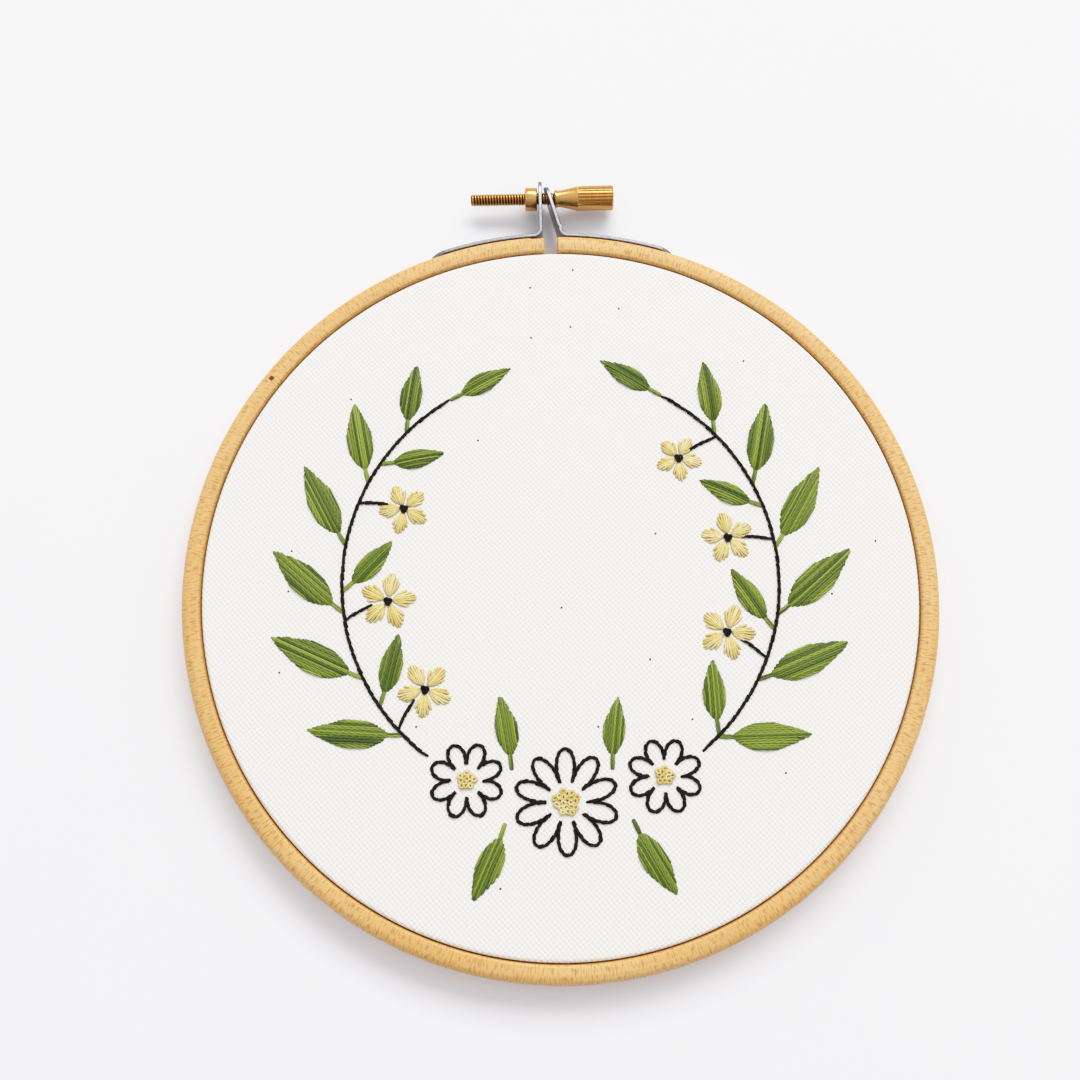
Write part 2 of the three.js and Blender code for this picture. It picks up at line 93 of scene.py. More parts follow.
def node(tree, kind, inputs=None, **settings):
    """Adds a node. inputs gives each socket a value, or another node's output to link."""
    made = tree.nodes.new(kind)
    for key, value in settings.items():
        setattr(made, key, value)
    for key, value in (inputs or {}).items():
        if isinstance(value, bpy.types.NodeSocket):
            tree.links.new(value, made.inputs[key])
        else:
            made.inputs[key].default_value = value
    return made


def empty_material(name):
    """A material with no nodes, and its tree."""
    made = bpy.data.materials.new(name)
    made.use_nodes = True
    made.node_tree.nodes.clear()
    return made, made.node_tree


def finished(made, inputs):
    """Ends a material with a principled shader and its output."""
    shader = node(made.node_tree, "ShaderNodeBsdfPrincipled", inputs)
    node(made.node_tree, "ShaderNodeOutputMaterial", {"Surface": shader.outputs[0]})
    return made


def maths(tree, operation, *values):
    """The result of a maths node. Each value is a number or a node's output."""
    return node(tree, "ShaderNodeMath", dict(enumerate(values)), operation=operation).outputs[0]


def levels(tree, value, start=(0.0, 1.0), result=(0.0, 1.0)):
    """A value carried from the start range to the result range, and held inside it."""
    inputs = {"Value": value}
    inputs["From Min"], inputs["From Max"] = start
    inputs["To Min"], inputs["To Max"] = result
    return node(tree, "ShaderNodeMapRange", inputs).outputs[0]


def noise(tree, place, scale=1.0, detail=2.0):
    """A noise texture's value at a place, from 0 to 1."""
    inputs = {"Vector": place, "Scale": scale, "Detail": detail}
    return node(tree, "ShaderNodeTexNoise", inputs).outputs[0]


def stretched(tree, place, scale):
    """A place with each of its coordinates multiplied by its own scale."""
    return node(tree, "ShaderNodeMapping", {"Vector": place, "Scale": scale}).outputs[0]


def colour_mix(tree, share, first, second):
    """The first colour where the share is 0, and the second where it is 1.

    A colour is a hex code or a node's output.
    """
    inputs = {"Factor": share}
    for socket, colour in (("A", first), ("B", second)):
        inputs[socket] = linear(colour) if isinstance(colour, str) else colour
    return node(tree, "ShaderNodeMix", inputs, data_type="RGBA").outputs["Result"]


def relief(tree, height, strength, depth, **settings):
    """The normal of a surface that rises by depth, in mm, where height goes from 0 to 1."""
    inputs = {"Strength": strength, "Distance": depth * MM, "Height": height}
    return node(tree, "ShaderNodeBump", inputs, **settings).outputs[0]


def grid_quads(rows, columns, loop_rows=False, loop_columns=False):
    """Quads between neighbours of a grid of points. A looped direction joins its last to its first."""
    i, j = np.meshgrid(
        np.arange(rows if loop_rows else rows - 1),
        np.arange(columns if loop_columns else columns - 1),
        indexing="ij",
    )
    after_i = (i + 1) % rows
    after_j = (j + 1) % columns
    corners = [i * columns + j, after_i * columns + j, after_i * columns + after_j, i * columns + after_j]
    return np.stack(corners, axis=-1).reshape(-1, 4)


def add_piece(name, points, polygons, material, uv=None, shade=None, sharp=40):
    """A mesh from points in mm and arrays of polygons, one array for each number of sides.

    uv holds a pair for each point, and shade one number for each point.
    """
    mesh = bpy.data.meshes.new(name)
    points = np.asarray(points, float).reshape(-1, 3)
    corners = np.concatenate([p.ravel() for p in polygons]).astype(np.int32)
    sizes = np.concatenate([np.full(len(p), p.shape[1]) for p in polygons])
    mesh.vertices.add(len(points))
    mesh.vertices.foreach_set("co", (points * MM).ravel())
    mesh.loops.add(len(corners))
    mesh.loops.foreach_set("vertex_index", corners)
    mesh.polygons.add(len(sizes))
    mesh.polygons.foreach_set("loop_start", (np.cumsum(sizes) - sizes).astype(np.int32))
    mesh.polygons.foreach_set("use_smooth", np.ones(len(sizes), bool))
    mesh.update(calc_edges=True)
    if uv is not None:
        layer = mesh.uv_layers.new(name="UVMap")
        layer.data.foreach_set("uv", np.asarray(uv, float).reshape(-1, 2)[corners].ravel())
    if shade is not None:
        mesh.attributes.new("shade", "FLOAT", "POINT").data.foreach_set("value", np.ravel(shade))
    mesh.validate()
    mesh.set_sharp_from_angle(angle=math.radians(sharp))
    mesh.materials.append(material)
    piece = bpy.data.objects.new(name, mesh)
    bpy.context.scene.collection.objects.link(piece)
    return piece


def arc(x, y, radius, start, end, count):
    """Points of a circle from one angle to another, in degrees."""
    turn = np.radians(np.linspace(start, end, count))
    return np.stack([x + radius * np.cos(turn), y + radius * np.sin(turn)], axis=1)


def beech():
    """Steamed and sealed beech: pale gold, with fine long grain and short darker flecks across it."""
    made, tree = empty_material("beech")
    along = node(tree, "ShaderNodeUVMap", uv_map="UVMap").outputs["UV"]
    place = node(tree, "ShaderNodeTexCoord").outputs["Object"]
    flecks = noise(tree, stretched(tree, along, (1 / 0.36, 1 / 1.6, 1)))
    grain = noise(tree, stretched(tree, along, (1 / 24, 1 / 0.55, 1)), detail=3.0)
    base = colour_mix(tree, noise(tree, place, 22.0), "#deae66", "#f2d5a2")
    streaked = colour_mix(tree, grain, base, "#daa556")
    fleck = maths(tree, "MULTIPLY", levels(tree, flecks, (0.49, 0.66)), 0.6)
    flecked = colour_mix(tree, fleck, streaked, "#ab6e2c")
    normal = relief(tree, flecks, 0.25, 0.08, invert=True)
    return finished(made, {"Base Color": flecked, "Roughness": 0.42, "Normal": normal})


def ring_profile(bore, radius, height, shoulder, ease, steps=8):
    """A rounded rectangle of radius and height, counter-clockwise from the bottom of the bore."""
    return np.concatenate(
        [
            arc(bore + ease, ease, ease, 180, 270, 4),
            arc(radius - ease, ease, ease, 270, 360, 4),
            arc(radius - shoulder, height - shoulder, shoulder, 0, 90, steps),
            arc(bore + ease, height - ease, ease, 90, 180, 4),
        ]
    )


def profile_uv(profile):
    """Distance round a profile, in mm, to every point."""
    steps = np.linalg.norm(np.diff(profile, axis=0), axis=1)
    return np.concatenate([[0], np.cumsum(steps)])


def split_ring():
    """The ring's profile carried round from one sawn end to the other.

    A point at share s of the way has an angle between those where its own radius meets the two
    saw cuts, x = SPLIT_RIGHT and x = SPLIT_LEFT, so both ends are flat.
    """
    profile = ring_profile(OUTER_RADIUS - OUTER_WALL, OUTER_RADIUS, OUTER_HEIGHT, SHOULDER, EASE)
    middle = profile.mean(axis=0)
    away = profile - middle
    inset = middle + away * (1 - END_EASE / np.linalg.norm(away, axis=1, keepdims=True))
    stretches = np.linspace(0, 1, 361)[1:-1]
    cut_x = SPLIT_LEFT - CUTBACK_LENGTH
    left_planes = np.array([cut_x - 1, cut_x - 0.02, cut_x + 0.02, cut_x + 1.5, SPLIT_LEFT - END_EASE])

    rows = []
    for radius_height, x in [(inset, SPLIT_RIGHT), (profile, SPLIT_RIGHT + END_EASE)]:
        rows.append((radius_height, np.arcsin(x / radius_height[:, 0])))
    first = rows[-1][1]
    last = 2 * np.pi - np.arcsin(-left_planes[0] / profile[:, 0])
    rows += [(profile, first + (last - first) * s) for s in stretches]
    rows += [(profile, 2 * np.pi - np.arcsin(-x / profile[:, 0])) for x in left_planes]
    rows.append((inset, 2 * np.pi - np.arcsin(-SPLIT_LEFT / inset[:, 0])))

    radius = np.array([row[0][:, 0] for row in rows])
    height = np.array([row[0][:, 1] for row in rows])
    turn = np.array([row[1] for row in rows])
    x = radius * np.sin(turn)
    y = radius * np.cos(turn)
    in_cut = (x < SPLIT_LEFT + 0.01) & (x > cut_x) & (y > 0)
    y = np.where(in_cut, np.minimum(y, OUTER_RADIUS - CUTBACK_DEPTH), y)
    points = np.stack([x, y + HOOP_Y, height], axis=-1)
    count = len(profile)
    quads = grid_quads(len(rows), count, loop_columns=True)
    ends = np.stack([np.arange(count), np.arange(count)[::-1] + (len(rows) - 1) * count])
    uv = np.stack([turn * OUTER_RADIUS, np.broadcast_to(profile_uv(profile), turn.shape)], axis=-1)
    return points, [quads[:, ::-1], ends[:, ::-1]], uv


def cut_box(piece, centre, size, turn):
    """Cuts a box out of a piece, for good."""
    bpy.ops.mesh.primitive_cube_add(size=1, location=[MM * c for c in centre], rotation=(0, 0, turn))
    cutter = bpy.context.object
    cutter.scale = [MM * s for s in size]
    cut(piece, cutter)


def cut(piece, cutter):
    """Takes the cutter's shape out of the piece, and removes the cutter."""
    change = piece.modifiers.new("cut", "BOOLEAN")
    change.object = cutter
    change.solver = "EXACT"
    bpy.context.view_layer.update()
    shape = bpy.data.meshes.new_from_object(piece.evaluated_get(bpy.context.evaluated_depsgraph_get()))
    piece.modifiers.clear()
    piece.data = shape
    bpy.data.objects.remove(cutter)


wood = beech()
outer_points, outer_faces, outer_uv = split_ring()
outer = add_piece("beech_outer_ring", outer_points, outer_faces, wood, uv=outer_uv)
nail_turn = math.radians(NAIL_ANGLE)
cut_box(
    outer,
    (NAIL_RADIUS * math.cos(nail_turn), NAIL_RADIUS * math.sin(nail_turn) + HOOP_Y, OUTER_HEIGHT),
    (NAIL_SIZE, NAIL_SIZE, 2 * NAIL_DEPTH),
    nail_turn,
)
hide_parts("outer_ring")
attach(outer, "root")


# Inner ring: a closed beech ring, glued where its ends overlap. The cloth hides it from the front.
INNER_RADIUS = 74.6
INNER_BORE = 70.3
INNER_HEIGHT = 7.7
INNER_STEPS = 240


def closed_ring(profile, steps):
    """The profile carried all the way round, the first row again at the end so that the grain joins."""
    turn = np.linspace(0, 2 * np.pi, steps + 1)[:, None]
    radius = profile[:, 0]
    x = radius * np.sin(turn)
    y = radius * np.cos(turn) + HOOP_Y
    points = np.stack([x, y, np.broadcast_to(profile[:, 1], x.shape)], axis=-1)
    uv = np.stack(np.broadcast_arrays(turn * radius.max(), profile_uv(profile)), axis=-1)
    return points, uv


inner_profile = ring_profile(INNER_BORE, INNER_RADIUS, INNER_HEIGHT, EASE, EASE, 4)
inner_points, inner_uv = closed_ring(inner_profile, INNER_STEPS)
inner_faces = grid_quads(INNER_STEPS + 1, len(inner_profile), loop_columns=True)[:, ::-1]
inner = add_piece("beech_inner_ring", inner_points, [inner_faces], wood, uv=inner_uv)
weld = inner.modifiers.new("weld", "WELD")
weld.merge_threshold = 0.01 * MM
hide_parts("inner_ring")
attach(inner, "root")


# Cloth: unbleached cotton in plain weave, drawn tight over the inner ring and trimmed short
# behind. Cotton is matt and nearly white, with a fine even weave and a few dark seed flecks.
CLOTH_RADIUS = 75.6
CLOTH_TOP = 8.7
CLOTH_THICKNESS = 0.9
CLOTH_CORNER = 1.0
CLOTH_TRIM = 1.1
THREAD_PITCH = 0.58  # woven about 0.45 mm apart, drawn a little coarser so that it shows
WEAVE_TURN = 4


def cotton():
    """Unbleached cotton: crossing threads as a fine relief with painted shade where they dip, slightly
    uneven, with scattered flecks.
    """
    made, tree = empty_material("cotton_calico")
    turned = node(
        tree,
        "ShaderNodeMapping",
        {
            "Vector": node(tree, "ShaderNodeTexCoord").outputs["Object"],
            "Rotation": (0, 0, math.radians(WEAVE_TURN)),
            "Scale": (1 / MM, 1 / MM, 1 / MM),
        },
    ).outputs[0]
    uneven = node(tree, "ShaderNodeTexNoise", {"Vector": turned, "Scale": 0.35, "Detail": 3.0})
    shifted = node(
        tree,
        "ShaderNodeVectorMath",
        {0: uneven.outputs["Color"], 1: (0.5, 0.5, 0.5), 2: turned},
        operation="MULTIPLY_ADD",
    )
    parts = node(tree, "ShaderNodeSeparateXYZ", {0: shifted.outputs[0]}).outputs
    waves = []
    for axis in ("X", "Y"):
        phase = maths(tree, "MULTIPLY", parts[axis], math.pi / THREAD_PITCH)
        waves.append(maths(tree, "SINE", phase))
    weave = maths(tree, "MULTIPLY", *waves)
    height = maths(tree, "MULTIPLY_ADD", noise(tree, turned, 1.6), 1.2, weave)
    cells = node(
        tree,
        "ShaderNodeTexVoronoi",
        {"Vector": turned, "Scale": 0.105, "Randomness": 1.0},
        voronoi_dimensions="2D",
    ).outputs
    near = maths(tree, "LESS_THAN", cells["Distance"], 0.024)
    picked = node(tree, "ShaderNodeSeparateColor", {0: cells["Color"]}).outputs[0]
    few = maths(tree, "LESS_THAN", picked, 0.14)
    fleck = maths(tree, "MULTIPLY", near, few)
    # Painted shade: the weave's low points are coloured darker than its raised threads.
    woven = colour_mix(tree, levels(tree, weave, (-1.0, 1.0)), "#eae6de", "#f8f5ee")
    return finished(
        made,
        {
            "Base Color": colour_mix(tree, fleck, woven, "#6b5a48"),
            "Roughness": 0.9,
            "Specular IOR Level": 0.2,
            "Sheen Weight": 0.15,
            "Sheen Roughness": 0.5,
            "Normal": relief(tree, height, 0.5, 0.12),
        },
    )


def cloth_surface():
    """Rings from the middle to the cut edge: flat, then over a quarter circle, then down.

    Each point is a radius and height from that outline; the margin below the turn waves in and
    out a little, and its cut edge rises and falls.
    """
    level = np.linspace(0.6, CLOTH_RADIUS - CLOTH_CORNER, 60)
    flat = np.stack([level, np.full(len(level), CLOTH_TOP)], axis=1)
    turn = arc(CLOTH_RADIUS - CLOTH_CORNER, CLOTH_TOP - CLOTH_CORNER, CLOTH_CORNER, 90, 0, 8)[1:]
    fall = np.linspace(CLOTH_TOP - CLOTH_CORNER, CLOTH_TRIM, 10)[1:]
    down = np.stack([np.full(len(fall), CLOTH_RADIUS), fall], axis=1)
    outline = np.concatenate([flat, turn, down])
    steps = 288
    turns = np.linspace(0, 2 * np.pi, steps, endpoint=False)
    below = np.clip((CLOTH_TOP - CLOTH_CORNER - outline[:, 1:2]) / CLOTH_TOP, 0, 1)
    wave = 0.06 * np.sin(23 * turns + 1) + 0.06 * np.sin(41 * turns)
    radius = outline[:, :1] + below * wave
    height = outline[:, 1:2] + below**2 * 0.35 * np.sin(17 * turns + 2)
    x = radius * np.sin(turns)
    y = radius * np.cos(turns) + HOOP_Y
    rings = np.stack([x, y, np.broadcast_to(height, x.shape)], axis=-1).reshape(-1, 3)
    points = np.concatenate([rings, [[0, HOOP_Y, CLOTH_TOP]]])
    quads = grid_quads(len(outline), steps, loop_columns=True)
    here = np.arange(steps)
    middle = np.stack([here, (here + 1) % steps, np.full(steps, steps * len(outline))], axis=1)
    return points, [quads[:, ::-1], middle[:, ::-1]]


calico = cotton()
cloth = add_piece("cotton_cloth", *cloth_surface(), calico)
thicken = cloth.modifiers.new("thickness", "SOLIDIFY")
thicken.thickness = CLOTH_THICKNESS * MM
thicken.offset = -1.0
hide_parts("cloth")
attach(cloth, "root")


# Brackets: two steel strips on edge, each bent from an ear that takes the screw, round the end of
# the outer ring and along it, to a point pressed into the wood. Zinc-plated: bright, faintly grey.
STRAP_THICKNESS = 0.8
STRAP_WIDTH = 6.0
STRAP_MIDDLE = 4.5
STRAP_EASE = 0.14
STRAP_RADIUS = OUTER_RADIUS + 0.3 + STRAP_THICKNESS / 2
BEND_RADIUS = 1.7
TAIL_BEND = 18.4
TAIL_TIP = 21.0
TAIL_BITE = 2.3
TAIL_TAPER = 5.5
TAIL_TIP_WIDTH = 1.6
EAR_ROUND = 3.0
SCREW_Y = 91.0
HOLE_RADIUS = 1.7
BRACKETS = {
    "bracket_left": {"side": -1, "foot": (2.3, 81.3), "lean": 0.2, "tip_y": 95.0},
    "bracket_right": {"side": 1, "foot": (2.65, 80.2), "lean": 15.4, "tip_y": 93.6},
}


def zinc_steel():
    """Zinc-plated steel strip: metal, fairly bright, with faint rolling marks."""
    made, tree = empty_material("zinc_plated_steel")
    place = node(tree, "ShaderNodeTexCoord").outputs["Object"]
    marks = noise(tree, stretched(tree, place, (900, 900, 6000)))
    tone = colour_mix(tree, marks, "#7b7c80", "#9d9ea2")
    dull = levels(tree, marks, result=(0.2, 0.36))
    return finished(made, {"Base Color": tone, "Metallic": 1.0, "Roughness": dull})


def strap_line(side, foot, lean, tip_y):
    """The strip's middle line from the ear's end to the tail's point.

    The ear is straight and leans towards the split. The bend is an arc that touches both the ear
    and the circle of the strip round the ring. The tail then leaves that circle inwards, by the
    square of the share of its way.
    """
    slope = math.radians(lean)
    up = np.array([-math.sin(slope), math.cos(slope)])
    out = np.array([up[1], -up[0]])
    beside = np.array(foot) + out * BEND_RADIUS
    along = beside @ up
    reach = STRAP_RADIUS + BEND_RADIUS
    centre = beside + up * (math.sqrt(along**2 - beside @ beside + reach**2) - along)
    bend_top = centre - out * BEND_RADIUS
    ear_length = (tip_y - bend_top[1]) / up[1]
    shares = 1 - np.concatenate([1 - np.cos(np.linspace(0, np.pi / 2, 10)), [1.8, 3, 6, 9]]) * 0.1
    ear = bend_top + np.outer(shares[shares > 0] * ear_length, up)
    bend_end = 180 + math.degrees(math.atan2(centre[1], centre[0]))
    bend = arc(*centre, BEND_RADIUS, 180 - lean, bend_end, 12)
    seat = math.degrees(math.atan2(centre[0], centre[1]))
    hugging = np.linspace(seat, TAIL_BEND, 24)[1:]
    biting = np.linspace(TAIL_BEND, TAIL_TIP, 9)[1:]
    angle = np.concatenate([hugging, biting])
    sunk = np.clip((angle - TAIL_BEND) / (TAIL_TIP - TAIL_BEND), 0, 1)
    radius = STRAP_RADIUS - TAIL_BITE * sunk**2
    turn = np.radians(angle)
    ring = np.stack([radius * np.sin(turn), radius * np.cos(turn)], axis=1)
    line = np.concatenate([ear, bend, ring])
    return line * [side, 1]


def bracket_mesh(row):
    """A rounded rectangle, thickness by width, carried along the strip's line.

    Its width is round at the ear's end and narrows to the tail's point.
    """
    line = strap_line(**row)
    steps = np.linalg.norm(np.diff(line, axis=0), axis=1)
    gone = np.concatenate([[0], np.cumsum(steps)])
    short = np.clip(EAR_ROUND - gone, 0, None)
    rounded = 2 * np.sqrt(np.clip(EAR_ROUND**2 - short**2, 0.4, None))
    tapered = TAIL_TIP_WIDTH + (STRAP_WIDTH - TAIL_TIP_WIDTH) * (gone[-1] - gone) / TAIL_TAPER
    half = np.minimum(np.minimum(STRAP_WIDTH, rounded), tapered)[:, None] / 2
    run = np.gradient(line, axis=0)
    run /= np.linalg.norm(run, axis=1, keepdims=True)
    left = np.stack([-run[:, 1], run[:, 0]], axis=1)
    thick = STRAP_THICKNESS / 2
    face = thick - STRAP_EASE
    across = np.array([-thick, -face, face, thick, thick, face, -face, -thick])
    up_from = STRAP_EASE * np.array([1, 0, 0, 1, -1, 0, 0, -1])
    side = np.array([-1, -1, -1, -1, 1, 1, 1, 1])
    height = STRAP_MIDDLE + side * half + up_from
    x = line[:, :1] + left[:, :1] * across
    y = line[:, 1:] + left[:, 1:] * across + HOOP_Y
    points = np.stack([x, y, height], axis=-1)
    count = len(line)
    quads = grid_quads(count, 8, loop_columns=True)
    ends = np.stack([np.arange(8)[::-1], np.arange(8) + (count - 1) * 8])
    return points, [quads[:, ::-1], ends]


steel = zinc_steel()
for bracket_name, bracket_row in BRACKETS.items():
    strap = add_piece(f"steel_{bracket_name}", *bracket_mesh(bracket_row), steel)
    bpy.ops.mesh.primitive_cylinder_add(
        vertices=48,
        radius=HOLE_RADIUS * MM,
        depth=20 * MM,
        location=(0, (SCREW_Y + HOOP_Y) * MM, STRAP_MIDDLE * MM),
        rotation=(0, math.pi / 2, 0),
    )
    cut(strap, bpy.context.object)
    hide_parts(bracket_name)
    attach(strap, "root")


# Screw and nut: turned from brass bar. The screw has a rolled thread, a small collar, a neck that
# flares and a fluted head to turn it by. Left as turned, so bright, with fine rings round it.
THREAD_RADIUS = 1.4
THREAD_DEPTH = 0.32
THREAD_STEP = 0.65
THREAD_TIP = -18.2
NECK_START = 0.95
HEAD_START = 6.2
HEAD_END = 14.5
HEAD_RADIUS = 2.75
FLUTES = 24
FLUTE_DEPTH = 0.26
NUT_START = -5.75
NUT_END = -3.0
NUT_RADIUS = 2.6


def turned_brass():
    """Turned brass, lightly polished, with faint rings from the tool and painted shade darkening the
    thread's grooves.
    """
    made, tree = empty_material("turned_brass")
    place = node(tree, "ShaderNodeTexCoord").outputs["Object"]
    rings = noise(tree, stretched(tree, place, (9000, 250, 250)))
    tone = colour_mix(tree, rings, "#c68d48", "#e4be7c")
    # Painted shade: where the shade attribute is 1, at the bottom of the thread's groove, the brass is
    # mixed towards deep brown.
    painted_groove_shade = node(tree, "ShaderNodeAttribute", attribute_name="shade").outputs["Fac"]
    return finished(
        made,
        {
            "Base Color": colour_mix(tree, painted_groove_shade, tone, "#54300c"),
            "Metallic": 1.0,
            "Roughness": levels(tree, rings, result=(0.13, 0.26)),
            "Normal": relief(tree, rings, 0.12, 0.02),
        },
    )


def round_x(station, radius, sides):
    """Rings about the screw's axis: one at each station along X, its radius a row or one number."""
    turn = np.linspace(0, 2 * np.pi, sides, endpoint=False)
    radius = np.broadcast_to(radius, (len(station), sides))
    x = np.broadcast_to(np.asarray(station)[:, None], radius.shape)
    y = SCREW_Y + HOOP_Y + radius * np.cos(turn)
    z = STRAP_MIDDLE + radius * np.sin(turn)
    return np.stack([x, y, z], axis=-1)


def capped(rings, start=0):
    """Quads between rings, and a polygon over each end."""
    count, sides = rings.shape[:2]
    quads = grid_quads(count, sides, loop_columns=True)
    ends = np.stack([np.arange(sides)[::-1], np.arange(sides) + (count - 1) * sides])
    return quads[:, ::-1] + start, ends + start


def thread_rings():
    """Radius is a ridge of x / step - turn, one crest a turn, faded to the tip's chamfer.

    The second result is 1 at the bottom of the groove and 0 at its crest.
    """
    sides = 48
    station = np.arange(THREAD_TIP, NECK_START + 0.6, THREAD_STEP / 8)
    turn = np.linspace(0, 1, sides, endpoint=False)
    phase = (station[:, None] / THREAD_STEP - turn) % 1
    ridge = np.clip(1.25 - 2.5 * np.abs(phase - 0.5), 0, 1)
    radius = THREAD_RADIUS - THREAD_DEPTH * (1 - ridge)
    tip = THREAD_RADIUS - THREAD_DEPTH + (station[:, None] - THREAD_TIP) * 0.75
    return round_x(station, np.minimum(radius, tip), sides), 1 - ridge


def head_rings():
    """The collar, the flaring neck and the head. Each flute is a narrow dip in the radius."""
    sides = FLUTES * 8
    profile = np.array(
        [
            [NECK_START, 1.55],
            [NECK_START, 1.7],
            [NECK_START + 0.08, 1.85],
            [NECK_START + 0.3, 2.02],
            [NECK_START + 0.55, 2.02],
            [NECK_START + 0.8, 1.88],
            [NECK_START + 1.1, 1.84],
            [NECK_START + 1.6, 1.9],
            [HEAD_START - 0.5, HEAD_RADIUS - 0.16],
            [HEAD_START - 0.1, HEAD_RADIUS - 0.06],
            [HEAD_START, HEAD_RADIUS - 0.02],
            [HEAD_START + 0.04, HEAD_RADIUS],
            [HEAD_START + 0.3, HEAD_RADIUS],
            [HEAD_END - 0.4, HEAD_RADIUS],
            [HEAD_END - 0.22, HEAD_RADIUS],
            [HEAD_END - 0.06, HEAD_RADIUS - 0.12],
            [HEAD_END, HEAD_RADIUS - 0.3],
            [HEAD_END, HEAD_RADIUS - 0.8],
        ]
    )
    station, radius = profile.T
    fluted = np.clip((station - HEAD_START) / 0.3, 0, 1) * (radius > HEAD_RADIUS - 0.2)
    turn = np.linspace(0, 2 * np.pi, sides, endpoint=False)
    dip = np.clip(-np.cos(FLUTES * turn) * 1.6 - 0.4, 0, 1)
    return round_x(station, radius[:, None] - FLUTE_DEPTH * fluted[:, None] * dip, sides)


def nut_rings():
    """Outside of the nut, eased at both ends, then back through its bore."""
    profile = np.array(
        [
            [NUT_START, HOLE_RADIUS],
            [NUT_START, NUT_RADIUS - 0.22],
            [NUT_START + 0.07, NUT_RADIUS - 0.07],
            [NUT_START + 0.22, NUT_RADIUS],
            [NUT_END - 0.22, NUT_RADIUS],
            [NUT_END - 0.07, NUT_RADIUS - 0.07],
            [NUT_END, NUT_RADIUS - 0.22],
            [NUT_END, HOLE_RADIUS],
        ]
    )
    return round_x(profile[:, 0], profile[:, 1:], 64)


brass = turned_brass()
thread, groove = thread_rings()
head = head_rings()
thread_faces = capped(thread)
head_faces = capped(head, thread.shape[0] * thread.shape[1])
screw = add_piece(
    "brass_thumb_screw",
    np.concatenate([thread.reshape(-1, 3), head.reshape(-1, 3)]),
    [*thread_faces, *head_faces],
    brass,
    # The groove share carries the thread's painted shade.
    shade=np.concatenate([groove.ravel(), np.zeros(head.shape[0] * head.shape[1])]),
    sharp=35,
)
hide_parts("thumb_screw")
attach(screw, "thumb_screw")

nut_points = nut_rings()
nut_faces = grid_quads(*nut_points.shape[:2], loop_rows=True, loop_columns=True)[:, ::-1]
nut = add_piece("brass_nut", nut_points, [nut_faces], brass)
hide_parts("nut")
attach(nut, "root")


# Stems: two lines of stem stitch in black-brown floss that rise left and right from the daisies,
# with a twig to each blossom. Every stitch is a slanting strand that overlaps the one before.
GARLAND_Y = 1.5
GARLAND_RADIUS = 46.0
STEM_FROM = 37.5
STEM_TO = 150.0
TWIG_LENGTH = 9.5
TWIG_BOW = 2.2
TWIG_STEPS = 24
STRAND_WIDTH = 0.56
STRAND_HEIGHT = 0.42
STRAND_SIDES = 8
TWIST_LENGTH = 1.5
SINK = 0.3  # how deep both ends of a stitch lie under the face of the cloth
STEM_LIFT = 0.12
STEM_REACH = 1.9
STEM_SLANT = 0.2
STEM_PITCH = 1.7
TWIG_PITCH = 1.5
BLOSSOMS = [
    {"branch": 1, "at": 67, "radius": 6.2},
    {"branch": 1, "at": 99, "radius": 5.8},
    {"branch": 1, "at": 131, "radius": 5.2},
    {"branch": -1, "at": 48, "radius": 6.0},
    {"branch": -1, "at": 80, "radius": 6.2},
    {"branch": -1, "at": 112, "radius": 5.6},
]
chance = np.random.default_rng(7)


def floss(name, dark, middle, light, gloss, sheen=0.25, shine=0.45):
    """Stranded cotton: soft twisted plies with a silky shine, each stitch a little lighter or darker,
    with painted shade along both sides of each strand and in the hollows of its twist.
    """
    made, tree = empty_material(name)
    along = node(tree, "ShaderNodeUVMap", uv_map="UVMap").outputs["UV"]
    parts = node(tree, "ShaderNodeSeparateXYZ", {0: along}).outputs
    stitch = node(tree, "ShaderNodeAttribute", attribute_name="shade").outputs["Fac"]
    phase = maths(tree, "MULTIPLY_ADD", parts["X"], 2 * math.pi / TWIST_LENGTH, stitch)
    wound = maths(tree, "MULTIPLY_ADD", parts["Y"], 4 * math.pi, phase)
    ply = levels(tree, maths(tree, "SINE", wound), (-1.0, 0.4))
    fibres = noise(tree, stretched(tree, along, (0.8, 12, 1)), detail=3.0)
    height = maths(tree, "MULTIPLY_ADD", fibres, 0.5, ply)
    # Painted shade: the strand's sides and the low points of its twist are mixed towards the dark colour.
    beside = maths(tree, "ABSOLUTE", maths(tree, "SUBTRACT", parts["Y"], 0.5))
    edge = levels(tree, beside, (0.2, 0.46), (0.0, 0.9))
    hollow = levels(tree, height, result=(0.7, 0.0))
    tone = colour_mix(tree, stitch, middle, light)
    return finished(
        made,
        {
            "Base Color": colour_mix(tree, maths(tree, "MAXIMUM", hollow, edge), tone, dark),
            "Roughness": gloss,
            "Specular IOR Level": shine,
            "Sheen Weight": sheen,
            "Sheen Roughness": 0.4,
            "Normal": relief(tree, height, 0.6, 0.09),
        },
    )


def stem_frame(branch, at):
    """A point of a stem, at degrees from its lowest one, and unit directions along and outwards."""
    angle = np.radians(at)
    sine = np.sin(angle)
    cosine = np.cos(angle)
    x = branch * GARLAND_RADIUS * sine
    y = GARLAND_Y + HOOP_Y - GARLAND_RADIUS * cosine
    along = np.stack([branch * cosine, sine], axis=-1)
    outwards = np.stack([branch * sine, -cosine], axis=-1)
    return np.stack([x, y], axis=-1), along, outwards


def twig_line(branch, at):
    """From the stem inwards, bowed along it. Its end is the blossom's middle."""
    point, along, outwards = stem_frame(branch, at)
    t = np.linspace(0, 1, TWIG_STEPS)[:, None]
    return point - outwards * TWIG_LENGTH * t + along * TWIG_BOW * t * (2 - t)


